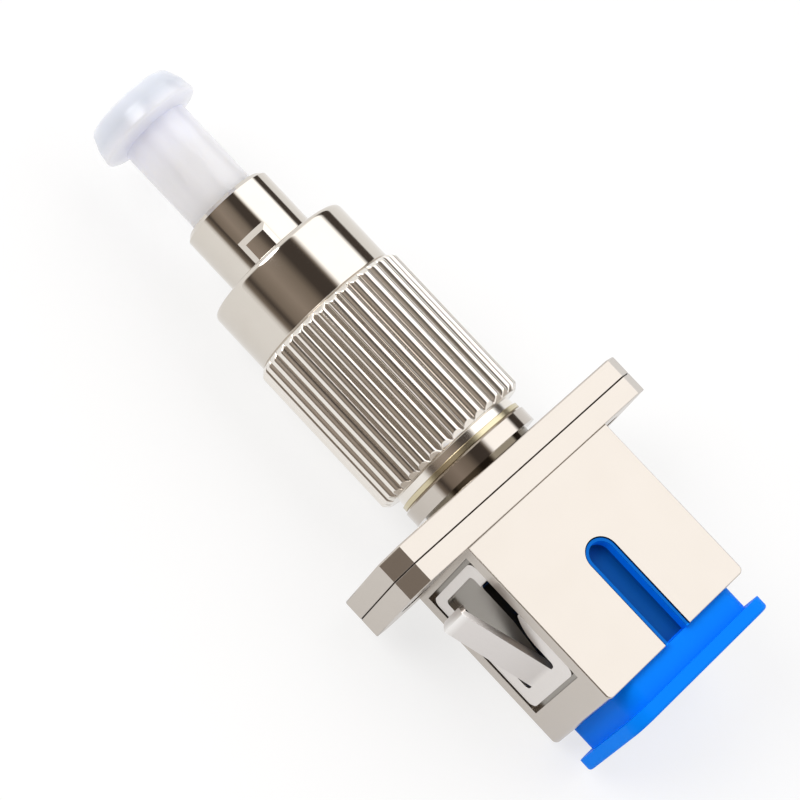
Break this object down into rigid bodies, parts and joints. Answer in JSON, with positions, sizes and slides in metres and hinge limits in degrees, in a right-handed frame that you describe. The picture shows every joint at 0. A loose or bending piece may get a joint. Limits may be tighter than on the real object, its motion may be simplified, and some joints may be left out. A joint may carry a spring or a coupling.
{
  "type": "hybrid fibre adapter",
  "caption": "Fibre adapter joining a round threaded plug with a knurled nut to a square push-pull port, with a screw flange, side spring clips and dust caps",
  "frame": {"origin": "on the optical axis, at the centre of the flange's rear face, midway between its fixing holes", "axes": "+X along the optical axis towards the square port, +Y along the flange, +Z towards the key slot side"},
  "size_m": [0.0503, 0.022, 0.0114],
  "materials": {
    "nickel_housing": "nickel plated die casting, satin with a soft shine",
    "nickel_turned": "bright nickel plate on turned brass",
    "gold_washer": "polished yellow metal",
    "spring_steel": "rolled spring sheet, satin",
    "spring_wire": "drawn wire",
    "ceramic": "polished zirconia",
    "latch_plastic": "moulded, fine matt",
    "white_cap": "translucent soft moulding",
    "blue_cap": "azure moulding, soft shine"
  },
  "bodies": {
    "adapter_body": {"front_housing": "nickel_housing", "rear_housing": "nickel_housing", "fc_plug_body": "nickel_turned", "spring_clip_left": "spring_steel", "spring_clip_right": "spring_steel", "latch_holder": "latch_plastic", "sleeve_tube": "nickel_turned", "split_sleeve": "ceramic", "spring_seat": "nickel_turned", "ferrule_spring": "spring_wire"},
    "washer": {"nut_washer": "gold_washer"},
    "nut": {"coupling_nut": "nickel_turned"},
    "ferrule_stub": {"ferrule": "ceramic", "ferrule_collar": "nickel_turned"},
    "ferrule_cap": {"fc_dust_cap": "white_cap"},
    "port_cap": {"sc_dust_cap": "blue_cap"}
  },
  "joints": [
    {"name": "nut_slide", "type": "slide", "parent": "adapter_body", "child": "washer", "axis": [-1, 0, 0], "range_m": [0, 0.0015]},
    {"name": "nut_spin", "type": "hinge", "parent": "washer", "child": "nut", "pos_m": [0, 0, 0], "axis": [1, 0, 0], "continuous": true},
    {"name": "ferrule_float", "type": "slide", "parent": "adapter_body", "child": "ferrule_stub", "axis": [1, 0, 0], "range_m": [0, 0.001], "stiffness_N_per_m": 500, "deforming": ["ferrule_spring"]},
    {"name": "fc_cap_pull", "type": "slide", "parent": "ferrule_stub", "child": "ferrule_cap", "axis": [-1, 0, 0], "range_m": [0, 0.009]},
    {"name": "sc_cap_pull", "type": "slide", "parent": "adapter_body", "child": "port_cap", "axis": [1, 0, 0], "range_m": [0, 0.012]}
  ]
}
